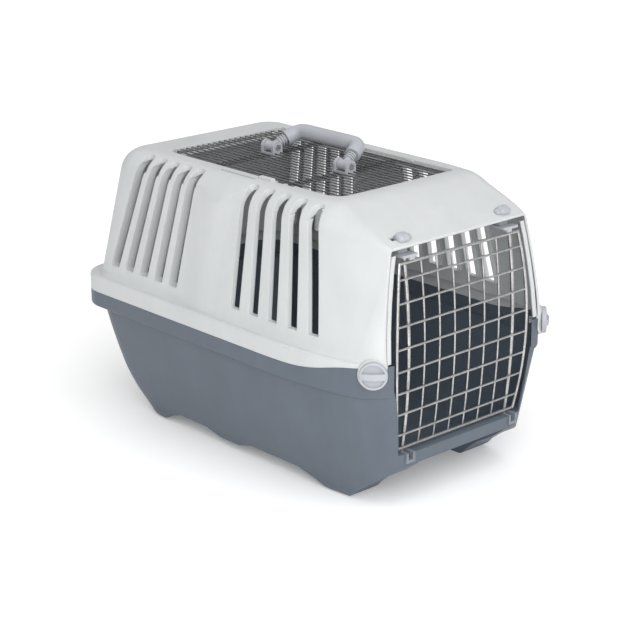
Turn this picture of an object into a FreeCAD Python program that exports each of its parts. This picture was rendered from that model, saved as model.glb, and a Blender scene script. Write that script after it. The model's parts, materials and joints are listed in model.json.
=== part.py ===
import FreeCAD
import Part
import math
import os

# Pet carrier: a drafted tub, a vented top shell, a wire door and a wire roof grate with a folding handle.
# Millimetres. The door faces -Y, the length runs along Y, +Z is up, and the feet stand on Z = 0.

doc = FreeCAD.newDocument("pet_carrier")
sheet = doc.addObject("Spreadsheet::Sheet", "sizes")

driving_sizes = [
    # Rim where the two shells meet
    ("rim_half_width", 175.8),
    ("rim_rear", 279.0),
    ("rim_front_reach", 6.0),
    ("rim_front_radius", 55.0),
    ("rim_rear_radius", 45.0),
    ("rim_wall", 4.0),
    ("rim_edge_radius", 3.0),
    ("rim_taper_angle", 13.0),
    ("taper_length", 175.0),
    ("band_bottom", 152.0),
    ("band_height", 21.4),
    ("ledge_top", 195.0),
    ("ledge_thickness", 4.0),
    ("parting_rise_length", 135.0),
    # Front opening
    ("opening_plane", -275.0),
    ("opening_lean_angle", 5.5),
    ("doorway_gap", 3.0),
    # Tub
    ("tub_wall", 3.0),
    ("rim_overhang", 9.8),
    ("rim_rear_overhang", 17.0),
    ("tub_side_draft", 43.0),
    ("tub_rear_draft", 76.0),
    ("tub_front_draft", 13.0),
    ("tub_base_radius", 34.0),
    ("tub_top_radius", 45.0),
    ("tub_taper_angle", 9.0),
    ("base_edge_radius", 12.0),
    ("belly_height", 14.0),
    ("floor_thickness", 3.0),
    ("lip_bottom", 57.0),
    ("lip_height", 15.0),
    ("lip_depth", 25.0),
    ("ramp_length", 110.0),
    ("foot_width", 46.0),
    ("foot_length", 32.0),
    ("front_foot_setback", 73.0),
    ("front_foot_slope", 52.0),
    ("rear_foot_slope", 36.0),
    ("rear_foot_length", 34.0),
    ("middle_foot_height", 6.5),
    ("middle_foot_length", 36.0),
    ("middle_foot_slope", 28.0),
    ("middle_foot_centre", 16.0),
    ("foot_round", 20.0),
    # Top shell
    ("shell_wall", 3.0),
    ("ledge_width", 10.8),
    ("ledge_rear_width", 12.0),
    ("cove_width", 5.0),
    ("cove_height", 8.0),
    ("shell_side_draft", 24.0),
    ("shell_rear_draft", 28.0),
    ("shell_front_reach", 3.0),
    ("shell_front_draft", 16.0),
    ("shell_foot_taper_angle", 8.0),
    ("shell_head_taper_angle", 24.0),
    ("shell_corner_radius", 46.0),
    ("shoulder_radius", 34.0),
    ("front_shoulder_radius", 6.0),
    ("inner_shoulder_radius", 3.0),
    ("roof_level", 366.0),
    ("roof_frame_depth", 10.0),
    ("hood_drop", 43.0),
    ("hood_angle", 23.0),
    ("hood_blend_radius", 60.0),
    # Roof opening, its shelf and its catch
    ("roof_side_margin", 41.0),
    ("roof_rear_margin", 67.0),
    ("hood_length", 119.0),
    ("hatch_radius", 20.0),
    ("hatch_hinge_radius", 6.0),
    ("shelf_width", 8.0),
    ("shelf_depth", 7.0),
    ("catch_slit_length", 66.0),
    ("catch_slit_width", 2.5),
    ("catch_slit_inset", 13.5),
    ("catch_tab_length", 24.0),
    ("catch_tab_width", 7.0),
    ("catch_tab_height", 3.0),
    ("catch_notch_length", 13.0),
    ("catch_notch_width", 5.0),
    ("catch_notch_depth", 4.0),
    ("catch_gap", 5.0),
    # Side slots and the raised panel between the two groups
    ("slot_width", 17.0),
    ("slot_lift", 17.0),
    ("slot_drop", 9.0),
    ("slot_corner_radius", 1.5),
    ("collar_wall", 2.0),
    ("front_collar_depth", 7.5),
    ("rear_collar_depth", 14.0),
    ("front_slot_setback", 99.0),
    ("front_slot_pitch", 35.0),
    ("rear_slot_inset", 179.0),
    ("rear_slot_pitch", 30.5),
    ("slot_fan_centre", -40.0),
    ("panel_raise", 3.0),
    ("panel_front", 4.0),
    ("panel_length", 60.0),
    ("panel_front_run", 10.0),
    ("panel_rear_run", 25.0),
    # Door of welded wire
    ("door_margin", 38.3),
    ("door_setback", 16.0),
    ("door_lift", 4.0),
    ("door_head_gap", 15.0),
    ("door_side_bulge", 11.1),
    ("door_bulge", 9.0),
    ("rod_radius", 2.5),
    ("rod_inset", 11.7),
    ("rod_foot_length", 12.0),
    ("rod_head_length", 6.0),
    ("rod_bend_radius", 12.0),
    ("door_frame_radius", 2.0),
    ("door_wire_radius", 1.3),
    ("door_end_gap", 19.0),
    ("weld_depth", 0.25),
    # Bushes in the front lip
    ("bush_half_width", 7.0),
    ("bush_depth", 22.0),
    ("bush_floor", 4.0),
    ("bush_crown", 1.0),
    ("bush_mouth_clearance", 1.4),
    # Door latches
    ("latch_travel", 8.0),
    ("latch_length", 24.0),
    ("latch_plate", 3.0),
    ("latch_guide_gap", 2.4),
    ("latch_finger", 8.0),
    ("latch_finger_depth", 4.0),
    ("latch_finger_drop", 3.6),
    ("latch_setback", 12.0),
    ("latch_stem_length", 14.0),
    ("latch_stem_depth", 6.0),
    ("latch_cap_length", 18.0),
    ("latch_cap_depth", 14.0),
    ("latch_cap_height", 7.0),
    ("latch_cap_reach", 4.0),
    ("latch_heel_length", 9.0),
    ("latch_heel_depth", 9.0),
    ("latch_heel_height", 4.0),
    # Quarter-turn knobs
    ("knob_radius", 17.0),
    ("knob_thickness", 6.0),
    ("knob_edge", 1.5),
    ("knob_bar_width", 8.0),
    ("knob_bar_height", 4.0),
    ("knob_recess", 2.5),
    ("knob_drop", 11.0),
    ("knob_angle", 45.0),
    ("knob_boss_radius", 18.5),
    ("knob_boss_thickness", 3.0),
    ("knob_pad_depth", 8.0),
    ("spindle_radius", 4.0),
    ("spindle_key_length", 13.0),
    ("spindle_key_width", 5.0),
    ("spindle_key_height", 4.0),
    # Roof grate of welded wire
    ("grate_frame_radius", 2.0),
    ("grate_wire_radius", 1.2),
    ("grate_cross_radius", 1.5),
    ("grate_cross_pair", 9.0),
    ("grate_corner_radius", 22.0),
    ("grate_side_gap", 1.0),
    ("hook_wall", 3.0),
    ("hook_length", 14.0),
    ("hook_offset", 17.0),
    # Handle
    ("handle_span", 139.0),
    ("handle_height", 42.0),
    ("handle_splay", 13.0),
    ("handle_bend_radius", 16.0),
    ("grip_radius", 10.0),
    ("neck_radius", 5.0),
    ("neck_ring_radius", 7.0),
    ("neck_ring_thickness", 2.0),
    ("neck_ring_start", 11.0),
    ("neck_ring_pitch", 3.6),
    ("neck_length", 22.0),
    ("eye_radius", 6.5),
    ("eye_length", 16.0),
    ("handle_tilt_angle", 66.0),
    ("pivot_lift", 6.0),
    ("pin_radius", 2.5),
    ("pin_head_radius", 3.8),
    ("pin_head_thickness", 1.5),
    ("clip_half_width", 8.0),
    ("clip_lug", 4.0),
    # Clearances
    ("running_clearance", 0.08),
    ("side_clearance", 0.4),
    ("joint_gap", 0.3),
]
derived_sizes = [
    ("cut_reach", "=rim_half_width + rim_rear + roof_level"),
    ("rim_front", "=opening_plane - rim_front_reach"),
    ("taper_start", "=opening_plane + taper_length"),
    ("parting_level", "=band_bottom + band_height"),
    ("parting_front_level", "=ledge_top - ledge_thickness"),
    ("parting_rise_start", "=opening_plane + parting_rise_length"),
    ("tub_top_half_width", "=rim_half_width - rim_overhang"),
    ("tub_base_half_width", "=tub_top_half_width - tub_side_draft"),
    ("tub_top_rear", "=rim_rear - rim_rear_overhang"),
    ("tub_base_rear", "=tub_top_rear - tub_rear_draft"),
    ("tub_base_front", "=rim_front + tub_front_draft"),
    ("lip_top", "=lip_bottom + lip_height"),
    ("ramp_end", "=opening_plane + ramp_length"),
    ("floor_height", "=belly_height + floor_thickness"),
    ("foot_front", "=opening_plane + front_foot_setback"),
    ("foot_rear", "=tub_base_rear - rear_foot_length"),
    ("shell_foot_half_width", "=rim_half_width - ledge_width"),
    ("shell_head_half_width", "=shell_foot_half_width - shell_side_draft"),
    ("shell_foot_rear", "=rim_rear - ledge_rear_width"),
    ("shell_head_rear", "=shell_foot_rear - shell_rear_draft"),
    ("shell_foot_front", "=rim_front - shell_front_reach"),
    ("shell_head_front", "=shell_foot_front - shell_front_draft"),
    ("hood_front_level", "=roof_level - hood_drop"),
    ("hatch_half_width", "=shell_head_half_width - roof_side_margin"),
    ("hatch_front", "=opening_plane + hood_length"),
    ("hatch_rear", "=shell_head_rear - roof_rear_margin"),
    ("slot_bottom", "=ledge_top + slot_lift"),
    ("slot_top", "=roof_level - slot_drop"),
    ("front_slot_first", "=opening_plane + front_slot_setback"),
    ("rear_slot_first", "=shell_foot_rear - rear_slot_inset"),
    ("door_half_width", "=shell_head_half_width - door_margin"),
    ("door_axis_x", "=door_half_width - rod_inset"),
    ("door_axis_y", "=opening_plane + door_setback"),
    ("door_bottom", "=lip_top + door_lift"),
    ("door_top", "=hood_front_level - door_head_gap"),
    ("rod_bottom", "=door_bottom - rod_foot_length"),
    ("rod_top", "=door_top + rod_head_length"),
    ("bush_bottom", "=rod_bottom - bush_floor"),
    ("latch_stem_y", "=door_axis_y + latch_setback"),
    ("knob_level", "=ledge_top - knob_drop"),
    ("handle_centre", "=(hatch_front + hatch_rear) / 2"),
    ("pivot_height", "=roof_level + pivot_lift"),
]
counts_and_shares = [
    ("slot_fan_share", -0.16),
    ("slot_head_share", 0.9),
    ("rod_run_share", 0.98),
    ("crown_share", 0.75),
    ("panel_far_share", 1.2),
    ("slots_per_group", 5),
    ("door_cross_count", 8),
    ("door_upright_count", 6),
    ("grate_wire_count", 20),
    ("neck_ring_count", 3),
]

for row, (name, value) in enumerate(driving_sizes + derived_sizes + counts_and_shares, start=1):
    sheet.set("A%d" % row, name)
    sheet.set("B%d" % row, str(value))
    sheet.setAlias("B%d" % row, name)
doc.recompute()

nodes = []


def size(name):
    return float(sheet.get(name))


def count(name):
    return int(sheet.get(name))


def vec(x, y, z):
    return FreeCAD.Vector(x, y, z)


def node(piece, label):
    piece.Label = label
    nodes.append(piece)
    return piece


def shaped(label, shape):
    piece = doc.addObject("Part::Feature", label)
    piece.Shape = shape
    return node(piece, label)


def primitive(kind, name, place, **expressions):
    # A box, cylinder or other solid whose sizes follow the sheet.
    piece = doc.addObject("Part::" + kind, name)
    for prop, expression in expressions.items():
        piece.setExpression(prop, expression)
    piece.Placement = place
    return piece


def placed(base, direction=None):
    # A placement whose local Z axis points along the direction.
    if direction is None:
        return FreeCAD.Placement(base, FreeCAD.Rotation())
    return FreeCAD.Placement(base, FreeCAD.Rotation(vec(0, 0, 1), direction))


def joined(name, pieces):
    union = doc.addObject("Part::MultiFuse", name)
    union.Shapes = pieces
    union.Refine = True
    return union


def grouped(name, pieces):
    group = doc.addObject("Part::Compound", name)
    group.Links = pieces
    return group


def cut_by(name, base, tool):
    result = doc.addObject("Part::Cut", name)
    result.Base = base
    result.Tool = tool
    result.Refine = True
    return result


def arc_about(centre_x, centre_y, level, radius, start, end):
    def at(angle):
        return vec(centre_x + radius * math.cos(angle), centre_y + radius * math.sin(angle), level)
    return Part.Arc(at(start), at((start + end) / 2), at(end)).toShape()


def plan_outline(level, half_width, rear, front, front_radius, rear_radius, taper_angle):
    # One horizontal outline of the body: straight sides that taper into round front corners.
    taper = math.radians(taper_angle)
    quarter = math.pi / 2
    start = size("taper_start")
    corner_y = front + front_radius * (1 - math.sin(taper))
    bend_radius = (start - corner_y) / math.sin(taper)
    corner_x = half_width - bend_radius * (1 - math.cos(taper))
    front_x = corner_x - front_radius * math.cos(taper)
    rear_x = half_width - rear_radius
    rear_y = rear - rear_radius
    front_y = front + front_radius
    bend_x = half_width - bend_radius
    edges = [
        Part.makeLine(vec(-front_x, front, level), vec(front_x, front, level)),
        arc_about(front_x, front_y, level, front_radius, -quarter, -taper),
        arc_about(bend_x, start, level, bend_radius, -taper, 0),
        Part.makeLine(vec(half_width, start, level), vec(half_width, rear_y, level)),
        arc_about(rear_x, rear_y, level, rear_radius, 0, quarter),
        Part.makeLine(vec(rear_x, rear, level), vec(-rear_x, rear, level)),
        arc_about(-rear_x, rear_y, level, rear_radius, quarter, math.pi),
        Part.makeLine(vec(-half_width, rear_y, level), vec(-half_width, start, level)),
        arc_about(-bend_x, start, level, bend_radius, math.pi, math.pi + taper),
        arc_about(-front_x, front_y, level, front_radius, math.pi + taper, math.pi + quarter),
    ]
    return Part.Wire(edges)


def rounded_path(points, radii, closed):
    # Straight runs joined by tangent arcs, with a radius for each point.
    last = len(points)
    bends = range(last) if closed else range(1, last - 1)
    entry = {}
    for index in bends:
        corner = points[index]
        radius = radii[index]
        back = (points[index - 1] - corner).normalize()
        ahead = (points[(index + 1) % last] - corner).normalize()
        half = back.getAngle(ahead) / 2
        reach = radius / math.tan(half)
        middle = (back + ahead).normalize() * (radius / math.sin(half) - radius)
        entry[index] = (corner + back * reach, corner + middle, corner + ahead * reach)
    edges = []
    runs = last if closed else last - 1
    for index in range(runs):
        following = (index + 1) % last
        begin = entry[index][2] if index in entry else points[index]
        finish = entry[following][0] if following in entry else points[following]
        edges.append(Part.makeLine(begin, finish))
        if following in entry:
            edges.append(Part.Arc(*entry[following]).toShape())
    return Part.Wire(edges)


def even_path(points, radius, closed):
    return rounded_path(points, [radius] * len(points), closed)


def tube(path, radius):
    first = path.OrderedEdges[0]
    begin = first.valueAt(first.FirstParameter)
    heading = first.tangentAt(first.FirstParameter)
    profile = Part.Wire(Part.makeCircle(radius, begin, heading))
    return path.makePipeShell([profile], True, False)


def side_prism(points, begin, end):
    # A prism along X whose outline lies in the YZ plane.
    corners = [vec(begin, y, z) for y, z in points]
    outline = Part.makePolygon(corners + corners[:1])
    return Part.Face(outline).extrude(vec(end - begin, 0, 0))


def side_slab(profile, begin, end):
    # A prism along X under an open profile in the YZ plane, closed far below it.
    reach = size("cut_reach")
    first = profile.OrderedVertexes[0].Point
    last = profile.OrderedVertexes[-1].Point
    under = [last, vec(last.x, last.y, -reach), vec(first.x, first.y, -reach), first]
    outline = Part.Wire(profile.OrderedEdges + Part.makePolygon(under).OrderedEdges)
    slab = Part.Face(outline).extrude(vec(end - begin, 0, 0))
    slab.translate(vec(begin - first.x, 0, 0))
    return slab


def rod_between(begin, end, radius):
    run = end - begin
    return Part.makeCylinder(radius, run.Length, begin, run)


steep_share = 0.5
level_share = 0.99


def upward(face):
    # Share of the face's direction that points up, at its middle.
    u_low, u_high, v_low, v_high = face.ParameterRange
    return face.normalAt((u_low + u_high) / 2, (v_low + v_high) / 2).z


def mirrored(shape):
    return shape.mirror(vec(0, 0, 0), vec(1, 0, 0))


# Surfaces that both shells share


def rim_outline(level, inset):
    return plan_outline(
        level,
        size("rim_half_width") - inset,
        size("rim_rear") - inset,
        size("rim_front") + inset,
        size("rim_front_radius") - inset,
        size("rim_rear_radius") - inset,
        size("rim_taper_angle"),
    )


def rim_ring():
    # The stepped rim as one ring with rounded outer edges, hollow between its lower shelf and its upper ledge.
    shelf = size("ledge_thickness")
    bottom = size("band_bottom") + shelf
    blank = rim_blank(0)
    outer = [edge for face in blank.Faces if abs(upward(face)) > level_share for edge in face.Edges]
    ring = blank.makeFillet(size("rim_edge_radius"), outer)
    hollow = Part.Face(rim_outline(bottom, size("rim_wall")))
    return ring.cut(hollow.extrude(vec(0, 0, size("ledge_top") - shelf - bottom)))


def rim_blank(inset):
    bottom = size("band_bottom")
    return Part.Face(rim_outline(bottom, inset)).extrude(vec(0, 0, size("ledge_top") - bottom))


def parting_block():
    # Everything above the joint line, which is level along the sides and rises to the front.
    reach = size("cut_reach")
    level = size("parting_level")
    front_level = size("parting_front_level")
    begin = size("parting_rise_start")
    front = size("opening_plane")
    middle_y = (begin + front) / 2
    middle_z = (level + front_level) / 2
    quarter_y = (front - begin) / 4
    quarter_z = (front_level - level) / 4
    swing = quarter_z / 2

    def at(y, z):
        return vec(-reach, y, z)

    lower = Part.Arc(at(begin, level), at(begin + quarter_y, level + swing), at(middle_y, middle_z))
    turn = at(front - quarter_y, front_level - swing)
    upper = Part.Arc(at(middle_y, middle_z), turn, at(front, front_level))
    edges = [
        Part.makeLine(at(reach, reach), at(reach, level)),
        Part.makeLine(at(reach, level), at(begin, level)),
        lower.toShape(),
        upper.toShape(),
        Part.makeLine(at(front, front_level), at(-reach, front_level)),
        Part.makeLine(at(-reach, front_level), at(-reach, reach)),
        Part.makeLine(at(-reach, reach), at(reach, reach)),
    ]
    return Part.Face(Part.Wire(edges)).extrude(vec(reach * 2, 0, 0))


def front_block():
    # Everything in front of the door opening, upright below the joint and leaning back above it.
    reach = size("cut_reach")
    plane = size("opening_plane")
    knee = size("parting_front_level")
    lean = (reach - knee) * math.tan(math.radians(size("opening_lean_angle")))
    outline = [(-reach, -reach), (plane, -reach), (plane, knee), (plane + lean, reach), (-reach, reach)]
    return side_prism(outline, -reach, reach)


def knob_axis(side):
    # Point on the rim's front corner and the outward direction there.
    turn = math.radians(size("knob_angle"))
    taper = math.radians(size("rim_taper_angle"))
    radius = size("rim_front_radius")
    corner_y = size("rim_front") + radius * (1 - math.sin(taper))
    bend_radius = (size("taper_start") - corner_y) / math.sin(taper)
    corner_x = size("rim_half_width") - bend_radius * (1 - math.cos(taper))
    centre_x = corner_x - radius * math.cos(taper)
    outward = vec(side * math.cos(turn), -math.sin(turn), 0)
    centre = vec(side * centre_x, size("rim_front") + radius, size("knob_level"))
    return centre + outward * radius, outward


def knob_boss(side):
    # Round pad through the rim under the knob. Outside it is the tab of the shell, inside a flat for the key.
    point, outward = knob_axis(side)
    inner = point - outward * size("knob_pad_depth")
    depth = size("knob_pad_depth") + size("knob_boss_thickness")
    return Part.makeCylinder(size("knob_boss_radius"), depth, inner, outward)


def knob_tab(side):
    # The part of the pad that belongs to the top shell and hangs in front of the rim of the tub.
    skin = knob_boss(side).cut(knob_hollow(side))
    below = rim_blank(-size("joint_gap")).cut(parting_block())
    return skin.cut(below)


def knob_hollow(side):
    # The space behind the rim wall at the knob.
    point, outward = knob_axis(side)
    inner = point - outward * size("rim_wall")
    return Part.makeCylinder(size("knob_boss_radius"), size("knob_pad_depth"), inner, outward * -1)


def key_slot(side):
    # Upright slot that lets the key of the spindle through when the knob is turned to open.
    point, outward = knob_axis(side)
    gap = size("side_clearance")
    width = size("spindle_key_width") + gap * 2
    height = size("spindle_key_length") + gap * 2
    reach = size("knob_pad_depth") * 2
    slot = Part.makeBox(height, width, reach, vec(-height / 2, -width / 2, -reach))
    slot.Placement = FreeCAD.Placement(point, FreeCAD.Rotation(vec(0, 0, 1), vec(0, 0, 0), outward, "ZXY"))
    return slot


def spindle_length():
    # From the back of the knob through tab, gap and pad to the far side of the key.
    gaps = size("side_clearance") * 2
    return size("knob_boss_thickness") + size("knob_pad_depth") + gaps + size("spindle_key_height")


def knob_bore(side):
    point, outward = knob_axis(side)
    reach = spindle_length()
    bore = size("spindle_radius") + size("running_clearance")
    return Part.makeCylinder(bore, reach * 2, point - outward * reach, outward)


# Base tub


def tub_outline(share, level, inset):
    # Outline at a share of the way from the base to the top of the drafted wall.
    def between(base, top):
        return base + (top - base) * share
    return plan_outline(
        level,
        between(size("tub_base_half_width"), size("tub_top_half_width")) - inset,
        between(size("tub_base_rear"), size("tub_top_rear")) - inset,
        between(size("tub_base_front"), size("rim_front")) + inset,
        between(size("tub_base_radius"), size("rim_front_radius")) - inset,
        between(size("tub_base_radius"), size("tub_top_radius")) - inset,
        size("tub_taper_angle"),
    )


def underside_block():
    # What is cut away under the belly: the wave between the feet and the ramp up to the lip.
    reach = size("cut_reach")
    belly = size("belly_height")
    lip = size("lip_bottom")
    front = size("opening_plane")
    foot_front = size("foot_front")
    foot_back = foot_front + size("foot_length")
    foot_rear = size("foot_rear")
    middle = size("middle_foot_centre")
    middle_half = size("middle_foot_length") / 2
    middle_end = middle_half + size("middle_foot_slope")
    dip = size("middle_foot_height")
    wave = [
        (-reach, lip),
        (front, lip),
        (foot_front, 0),
        (foot_back, 0),
        (foot_back + size("front_foot_slope"), belly),
        (middle - middle_end, belly),
        (middle - middle_half, dip),
        (middle + middle_half, dip),
        (middle + middle_end, belly),
        (foot_rear - size("rear_foot_slope"), belly),
        (foot_rear, 0),
        (reach, 0),
    ]
    channel = [(-reach, lip), (front, lip), (size("ramp_end"), belly), (reach, belly)]
    inner = size("tub_base_half_width") - size("foot_width")
    wave_path = even_path([vec(0, y, z) for y, z in wave], size("foot_round"), False)
    channel_path = even_path([vec(0, y, z) for y, z in channel], size("foot_round"), False)
    return side_slab(wave_path, -reach, reach).fuse(side_slab(channel_path, -inner, inner))


def floor_block():
    # The floor stays solid under this line: flat, then up the ramp, then the step of the front lip.
    reach = size("cut_reach")
    floor = size("floor_height")
    front = size("opening_plane")
    back = front + size("lip_depth")
    lip = size("lip_top")
    ramp_top = size("lip_bottom")
    outline = [
        (-reach, -reach),
        (-reach, lip),
        (back, lip),
        (back, ramp_top),
        (size("ramp_end"), floor),
        (reach, floor),
        (reach, -reach),
    ]
    return side_prism(outline, -reach, reach)


def doorway():
    # The front wall is open over the lip, a little wider than the door at every height.
    reach = size("cut_reach")
    lip = size("lip_top")
    band = size("band_bottom")
    margin = size("door_frame_radius") + size("doorway_gap")
    low = size("door_half_width") + margin
    high = door_side(band) + margin
    front = size("door_axis_y") - reach
    corners = [vec(-low, front, lip), vec(low, front, lip), vec(high, front, band), vec(-high, front, band)]
    outline = Part.makePolygon(corners + corners[:1])
    return Part.Face(outline).extrude(vec(0, reach, 0))


def bush_recess(side):
    half = size("bush_half_width")
    bottom = size("bush_bottom")
    corner = vec(side * size("door_axis_x") - half, size("opening_plane"), bottom)
    return Part.makeBox(half * 2, size("bush_depth"), size("lip_top") + size("bush_crown") - bottom, corner)


def make_base_tub():
    band = size("band_bottom")
    wall = size("tub_wall")
    shelf = size("ledge_thickness")
    body = Part.makeLoft([tub_outline(0, 0, 0), tub_outline(1, band, 0)], True, True)
    sole = [edge for face in body.Faces if upward(face) < -level_share for edge in face.Edges]
    body = body.makeFillet(size("base_edge_radius"), sole)
    cabin = Part.makeLoft([tub_outline(0, 0, wall), tub_outline(1, band, wall)], True, True)
    neck = Part.Face(tub_outline(1, band, wall)).extrude(vec(0, 0, shelf))
    body = body.cut(underside_block())
    cabin = cabin.cut(floor_block())
    tub = body.fuse(rim_ring()).cut(cabin).cut(neck)
    for side in (-1, 1):
        tub = tub.fuse(knob_boss(side).common(rim_blank(0)))
    tub = tub.cut([parting_block(), front_block(), doorway()])
    for side in (-1, 1):
        tub = tub.cut([knob_bore(side), key_slot(side), bush_recess(side)])
    return shaped("base_tub", tub.removeSplitter())


# Top shell

def shell_outline(share, level, inset):
    # Outline at a share of the way from the foot of the wall to the level of the roof.
    def between(foot, head):
        return foot + (head - foot) * share
    return plan_outline(
        level,
        between(size("shell_foot_half_width"), size("shell_head_half_width")) - inset,
        between(size("shell_foot_rear"), size("shell_head_rear")) - inset,
        between(size("shell_foot_front"), size("shell_head_front")) + inset,
        size("shell_corner_radius") - inset,
        size("shell_corner_radius") - inset,
        between(size("shell_foot_taper_angle"), size("shell_head_taper_angle")),
    )


def roof_profile(roof_drop, hood_drop):
    # Side view of the roof: level, then blended by an arc into the hood that slopes to the door.
    reach = size("cut_reach")
    slope = math.tan(math.radians(size("hood_angle")))
    roof = size("roof_level") - roof_drop
    front = size("opening_plane")
    hood = size("hood_front_level") - hood_drop
    knee = front + (roof - hood) / slope
    points = [vec(0, front - reach, hood - reach * slope), vec(0, knee, roof), vec(0, reach, roof)]
    return side_slab(even_path(points, size("hood_blend_radius"), False), -reach, reach)


def shell_hull(name, bottom, inset, roof_drop, hood_drop, tight):
    # Drafted walls under the roof profile. The round shoulder tightens along the hood towards the door.
    foot = size("ledge_top")
    roof = size("roof_level")
    share = (bottom - foot) / (roof - foot)
    walls = Part.makeLoft([shell_outline(share, bottom, inset), shell_outline(1, roof, inset)], True, True)
    block = doc.addObject("Part::Feature", name + "_block")
    block.Shape = walls.common(roof_profile(roof_drop, hood_drop)).removeSplitter()
    hull = doc.addObject("Part::Fillet", name)
    hull.Base = block
    hull.Edges = shoulder_radii(block.Shape, size("shoulder_radius") - inset, tight)
    doc.recompute()
    reach = size("cut_reach")
    half = hull.Shape.common(Part.makeBox(reach, reach * 2, reach, vec(0, -reach, 0)))
    return half.fuse(mirrored(half)).removeSplitter()


def shoulder_radii(block, wide, tight):
    # Edge number with the radius at its two ends, for each edge between a wall and the roof.
    walls = [face for face in block.Faces if upward(face) < steep_share]
    wall_edges = {edge.hashCode() for face in walls for edge in face.Edges}
    radii = {}
    for face in block.Faces:
        if upward(face) < steep_share:
            continue
        on_hood = isinstance(face.Surface, Part.Plane) and upward(face) < level_share
        for edge in face.Edges:
            if edge.hashCode() not in wall_edges:
                continue
            number = [other.hashCode() for other in block.Edges].index(edge.hashCode()) + 1
            middle = edge.valueAt((edge.FirstParameter + edge.LastParameter) / 2)
            on_side = middle.y > size("latch_stem_y")
            if not on_hood:
                radii[number] = (wide, wide)
            elif not on_side:
                radii[number] = (tight, tight)
            elif middle.x > 0:
                radii[number] = (tight, wide)
            else:
                radii[number] = (wide, tight)
    return [(number, first, last) for number, (first, last) in sorted(radii.items())]


def hood_height(y):
    slope = math.tan(math.radians(size("hood_angle")))
    return size("hood_front_level") + (y - size("opening_plane")) * slope


def hatch_prism(inset, bottom, near_radius, far_radius):
    # Opening in the roof with one corner radius beside the catch and one beside the hinge.
    half = size("hatch_half_width") - inset
    front = size("hatch_front") + inset
    rear = size("hatch_rear") - inset
    plan = [(-half, front), (half, front), (half, rear), (-half, rear)]
    corners = [vec(x, y, bottom) for x, y in plan]
    outline = rounded_path(corners, [near_radius, far_radius, far_radius, near_radius], True)
    return Part.Face(outline).extrude(vec(0, 0, size("cut_reach")))


def slot_prisms(first, pitch, grow):
    # Leaning slots with rounded heads, through both side walls and open over the shoulder.
    reach = size("cut_reach")
    half = size("slot_width") / 2 + grow
    bottom = size("slot_bottom") - grow
    top = size("slot_top") + grow
    corner = size("slot_corner_radius") + grow
    head_radius = half * size("slot_head_share")
    prisms = []
    for index in range(count("slots_per_group")):
        foot = first + pitch * index
        head = foot + slot_fan(foot)
        outline = [(foot - half, bottom), (foot + half, bottom), (head + half, top), (head - half, top)]
        points = [vec(-reach, y, z) for y, z in outline]
        path = rounded_path(points, [corner, corner, head_radius, head_radius], True)
        prisms.append(Part.Face(path).extrude(vec(reach * 2, 0, 0)))
    return prisms


def slot_fan(foot):
    # How far the head of a leaning line stands behind its foot.
    return (foot - size("slot_fan_centre")) * size("slot_fan_share")


def slot_groups():
    return [
        ("front", size("front_slot_first"), size("front_slot_pitch"), size("front_collar_depth")),
        ("rear", size("rear_slot_first"), size("rear_slot_pitch"), size("rear_collar_depth")),
    ]


def slot_collars(hull, bottom):
    # Each slot is turned in round its edge, as deep as the collar.
    frame = size("roof_frame_depth")
    collars = []
    for name, first, pitch, depth in slot_groups():
        core = shell_hull(name + "_collar_core", bottom, depth, frame, frame, size("inner_shoulder_radius"))
        blocks = Part.makeCompound(slot_prisms(first, pitch, size("collar_wall")))
        collars.append(hull.cut(core).common(blocks))
    return collars


def raised_panel(side):
    # The panel between the slot groups stands proud, with a short slope in front and a long one behind.
    foot_front = size("panel_front")
    foot_rear = foot_front + size("panel_length")
    head_front = foot_front + slot_fan(foot_front)
    head_rear = foot_rear + slot_fan(foot_rear)
    ends = [
        (size("ledge_top"), size("shell_foot_half_width"), foot_front, foot_rear),
        (size("roof_level"), size("shell_head_half_width"), head_front, head_rear),
    ]
    far = size("panel_far_share")
    lift = size("panel_raise") * far
    front_run = size("panel_front_run") * far
    rear_run = size("panel_rear_run") * far
    wires = []
    for level, half, front, rear in ends:
        deep = half - size("shoulder_radius") - lift
        outline = [
            (deep, front - front_run),
            (half - lift, front - front_run),
            (half + lift, front + front_run),
            (half + lift, rear - rear_run),
            (half - lift, rear + rear_run),
            (deep, rear + rear_run),
        ]
        corners = [vec(side * x, y, level) for x, y in outline]
        wires.append(Part.makePolygon(corners + corners[:1]))
    return Part.makeLoft(wires, True, True)


def ledge_cove():
    # Slope between the ledge and the foot of the wall.
    ledge = size("ledge_top")
    height = size("cove_height")
    sunk = size("shell_wall") / 2
    foot = shell_outline(0, ledge - sunk, -size("cove_width"))
    head = shell_outline(height / (size("roof_level") - ledge), ledge + height, sunk)
    cove = Part.makeLoft([foot, head], True, True)
    within = Part.Face(rim_outline(ledge - sunk, size("rim_edge_radius")))
    return cove.common(within.extrude(vec(0, 0, height + sunk)))


def catch_cuts():
    # A slit that frees the springy edge of the hatch, and two notches beside its tab.
    edge = -size("hatch_half_width")
    reach = size("roof_frame_depth") * 2
    middle = size("slot_fan_centre") / 2
    slit_corner = vec(edge - size("catch_slit_inset"), middle, size("roof_level") - reach)
    cuts = [Part.makeBox(size("catch_slit_width"), size("catch_slit_length"), reach * 2, slit_corner)]
    pitch = size("catch_notch_length") + size("catch_gap")
    first = middle - size("catch_tab_length") - pitch
    for index in range(2):
        level = size("roof_level") - size("catch_notch_depth")
        corner = vec(edge - size("catch_notch_width"), first - pitch * index, level)
        cuts.append(Part.makeBox(size("catch_notch_width") * 2, size("catch_notch_length"), reach, corner))
    return cuts


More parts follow.
